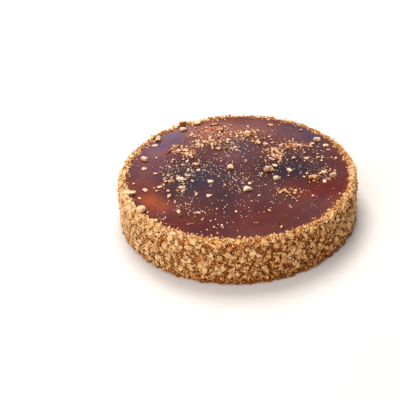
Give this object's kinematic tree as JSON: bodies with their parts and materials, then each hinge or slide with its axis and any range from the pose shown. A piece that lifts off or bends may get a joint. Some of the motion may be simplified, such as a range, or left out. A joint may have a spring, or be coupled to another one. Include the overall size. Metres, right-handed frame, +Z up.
{
  "type": "mocha biscuit cake",
  "caption": "Whole round layer cake with a glossy mocha mirror glaze, a side coated in biscuit crumbs and biscuit chunks scattered on top.",
  "frame": {"origin": "middle of the flat underside", "axes": "+Z up out of the glazed top; -Y is the side that faces the viewer, +X is the viewer's right"},
  "size_m": [0.2596, 0.2611, 0.0573],
  "materials": {
    "crumb_coat": "dry, rough coat of pale and golden biscuit crumbs",
    "mirror_glaze": "mirror-gloss dark mocha glaze, marbled red-brown and near black",
    "biscuit_chunk": "dry baked biscuit"
  },
  "bodies": {
    "root": {"crumbed_cake": "crumb_coat", "mocha_glaze": "mirror_glaze", "biscuit_chunk_01": "biscuit_chunk", "biscuit_chunk_02": "biscuit_chunk", "biscuit_chunk_03": "biscuit_chunk", "biscuit_chunk_04": "biscuit_chunk", "biscuit_chunk_05": "biscuit_chunk", "biscuit_chunk_06": "biscuit_chunk", "biscuit_chunk_07": "biscuit_chunk", "biscuit_chunk_08": "biscuit_chunk", "biscuit_chunk_09": "biscuit_chunk", "biscuit_chunk_10": "biscuit_chunk", "biscuit_chunk_11": "biscuit_chunk", "biscuit_chunk_12": "biscuit_chunk", "biscuit_chunk_13": "biscuit_chunk", "biscuit_chunk_14": "biscuit_chunk"}
  },
  "joints": []
}
